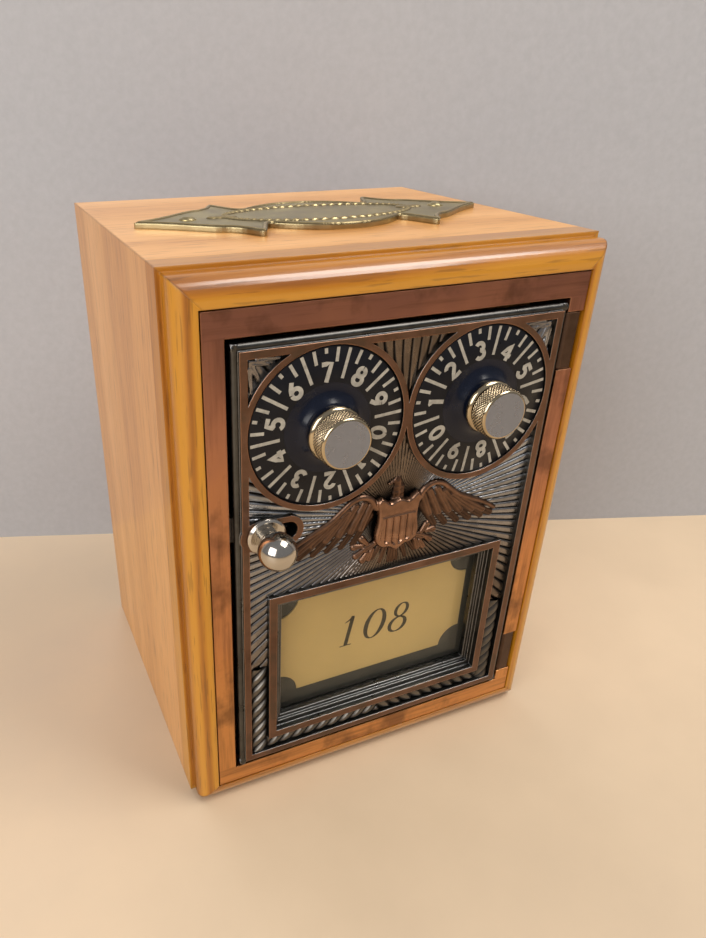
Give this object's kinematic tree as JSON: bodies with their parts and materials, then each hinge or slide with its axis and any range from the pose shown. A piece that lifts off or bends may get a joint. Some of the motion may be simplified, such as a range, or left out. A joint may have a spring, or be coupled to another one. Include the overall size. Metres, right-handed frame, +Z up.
{
  "type": "post office box door in a wooden case",
  "caption": "Small wooden case with a cast brass post office box door in its front: two letter-lock style dials, a sliding ball latch and a number window.",
  "frame": {"origin": "centre of the case's flat underside", "axes": "+Z up, -Y out of the door's front, +X to the right seen from the front"},
  "size_m": [0.116, 0.1152, 0.1563],
  "materials": {
    "case_wood": "satin varnish",
    "oak_frame": "gloss varnish",
    "copper_finish": "antique copper plate",
    "dark_brass": "dark patina with rubbed edges",
    "plate_brass": "satin",
    "wheel_brass": "machined",
    "dial_black": "black lacquer",
    "bright_metal": "polished nickel plate",
    "steel": "plain",
    "window_glass": "clear",
    "card": "matt"
  },
  "bodies": {
    "case": {"case_left_side": "case_wood", "case_right_side": "case_wood", "case_top": "case_wood", "case_bottom": "case_wood", "case_back": "case_wood", "oak_rail_top": "oak_frame", "oak_rail_bottom": "oak_frame", "oak_stile_left": "oak_frame", "oak_stile_right": "oak_frame", "door_frame": "copper_finish", "frame_screws": "steel", "hinge_pin_upper": "steel", "hinge_pin_lower": "steel", "lid_plate": "plate_brass", "lid_plate_pins": "plate_brass"},
    "door": {"door_casting": "dark_brass", "sunburst_rays": "dark_brass", "rope_border": "dark_brass", "winged_shield": "copper_finish", "window_glass": "window_glass", "number_plate": "plate_brass", "backing_card": "card", "window_retainer": "steel", "retainer_screws": "steel", "lock_housing": "steel", "housing_screws": "steel", "bolt_guide_screws": "steel"},
    "left_dial": {"left_dial": "dial_black", "left_knob": "bright_metal", "left_spindle": "steel", "left_tumbler_wheel": "wheel_brass", "left_spring_washer": "steel", "left_spindle_clip": "steel"},
    "right_dial": {"right_dial": "dial_black", "right_knob": "bright_metal", "right_spindle": "steel", "right_tumbler_wheel": "wheel_brass", "right_spring_washer": "steel", "right_spindle_clip": "steel"},
    "latch": {"latch_bolt": "steel", "latch_collar": "bright_metal", "latch_ball": "bright_metal", "latch_spring": "steel"}
  },
  "joints": [
    {"name": "door_hinge", "type": "hinge", "parent": "case", "child": "door", "pos_m": [0.0485, -0.0483, 0.0758], "axis": [0, 0, 1], "range_deg": [0, 105]},
    {"name": "left_dial_turn", "type": "hinge", "parent": "door", "child": "left_dial", "pos_m": [-0.0215, -0.051, 0.116], "axis": [0, 1, 0], "continuous": true},
    {"name": "right_dial_turn", "type": "hinge", "parent": "door", "child": "right_dial", "pos_m": [0.0215, -0.051, 0.116], "axis": [0, 1, 0], "continuous": true},
    {"name": "latch_slide", "type": "slide", "parent": "door", "child": "latch", "axis": [1, 0, 0], "range_m": [-0.0024, 0.006], "stiffness_N_per_m": 80, "deforming": ["latch_spring"]}
  ]
}
